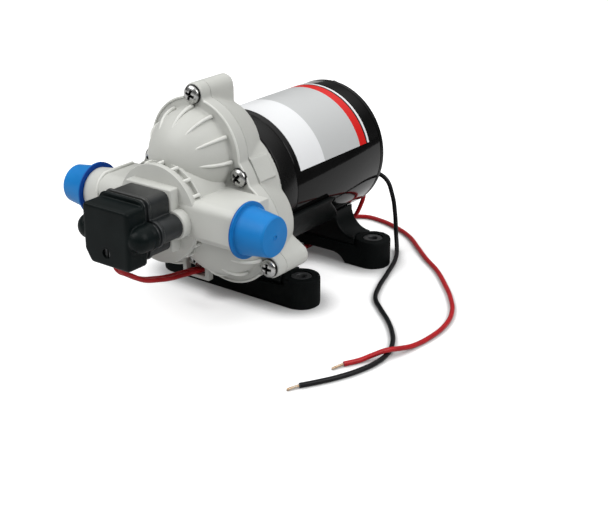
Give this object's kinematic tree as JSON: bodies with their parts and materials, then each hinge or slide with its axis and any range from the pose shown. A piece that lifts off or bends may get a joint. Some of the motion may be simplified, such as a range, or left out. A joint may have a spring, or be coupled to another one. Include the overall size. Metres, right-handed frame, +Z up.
{
  "type": "diaphragm water pump",
  "caption": "Small motor-driven diaphragm water pump with domed grey head, pressure switch, side ports under transit caps, rubber feet and loose supply leads.",
  "frame": {"origin": "on the floor at the centre of the four foot holes", "axes": "+Z up, +Y along the motor axis towards the motor's rear end, +X towards the outlet port"},
  "size_m": [0.1768, 0.2131, 0.1132],
  "materials": {
    "housing_grey": "satin moulded grey plastic",
    "switch_black": "satin moulded black plastic",
    "saddle_black": "matte black plastic",
    "foot_rubber": "matte black rubber",
    "can_black": "gloss black paint",
    "label_film": "printed film, plain colour bands",
    "cap_blue": "soft blue polythene",
    "steel": "bright plated steel",
    "iron": "dark laminated iron and ferrite",
    "alloy": "die cast alloy",
    "copper": "copper and brass",
    "carbon": "matte carbon",
    "card": "brown phenolic card",
    "seal_rubber": "black moulded rubber",
    "nylon": "natural nylon",
    "switch_case": "dark moulded case",
    "lead_red": "red insulation",
    "lead_black": "black insulation"
  },
  "bodies": {
    "pump": {"front_rail": "foot_rubber", "rear_rail": "foot_rubber", "foot_eyelets": "steel", "saddle": "saddle_black", "saddle_screws": "steel", "motor_can": "can_black", "front_bell": "can_black", "rear_cap": "can_black", "motor_bolts": "steel", "magnets": "iron", "front_bearing": "steel", "rear_bearing": "steel", "brush_card": "card", "brushes": "carbon", "brush_springs": "steel", "rating_label": "label_film", "drive_housing": "housing_grey", "drive_screws": "steel", "diaphragm": "seal_rubber", "valve_plate": "nylon", "inlet_valves": "seal_rubber", "outlet_valve": "seal_rubber", "plate_gasket": "seal_rubber", "front_head": "housing_grey", "head_screws": "steel", "switch_diaphragm": "seal_rubber", "switch_body": "switch_black", "switch_cover": "switch_black", "switch_screws": "steel", "microswitch": "switch_case", "switch_terminals": "copper", "switch_spring": "steel", "lead_grommets": "seal_rubber", "motor_lead": "lead_red", "supply_run": "lead_red", "black_lead": "lead_black", "black_lead_end": "copper", "red_lead": "lead_red", "red_lead_end": "copper"},
    "rotor": {"motor_shaft": "steel", "armature_core": "iron", "armature_windings": "copper", "commutator": "copper", "cam_bush": "nylon", "cam_race_inner": "steel"},
    "wobble": {"cam_race_outer": "steel", "wobble_plate": "alloy", "piston_backs": "nylon", "piston_pads": "seal_rubber", "piston_faces": "nylon", "piston_screws": "steel"},
    "plunger": {"switch_plunger": "nylon", "switch_button": "switch_case"},
    "adjuster": {"adjuster_screw": "steel"},
    "inlet_transit_cap": {"inlet_cap": "cap_blue"},
    "outlet_transit_cap": {"outlet_cap": "cap_blue"}
  },
  "joints": [
    {"name": "rotor_spin", "type": "hinge", "parent": "pump", "child": "rotor", "pos_m": [0, 0, 0.0565], "axis": [0, 1, 0], "continuous": true},
    {"name": "wobble_nutate", "type": "hinge", "parent": "rotor", "child": "wobble", "pos_m": [0, -0.0495, 0.0565], "axis": [0, 0.9986, -0.0523], "continuous": true},
    {"name": "plunger_slide", "type": "slide", "parent": "pump", "child": "plunger", "axis": [0, -1, 0], "range_m": [0, 0.001], "stiffness_N_per_m": 200},
    {"name": "adjuster_turn", "type": "hinge", "parent": "pump", "child": "adjuster", "pos_m": [0, -0.117, 0.0476], "axis": [0, -1, 0], "range_deg": [-360, 360]},
    {"name": "outlet_cap_pull", "type": "slide", "parent": "pump", "child": "outlet_transit_cap", "axis": [1, 0, 0], "range_m": [0, 0.03]},
    {"name": "inlet_cap_pull", "type": "slide", "parent": "pump", "child": "inlet_transit_cap", "axis": [-1, 0, 0], "range_m": [0, 0.03]}
  ],
  "couplings": [
    {"joint": "wobble_nutate", "follows": "rotor_spin", "ratio": -1}
  ]
}
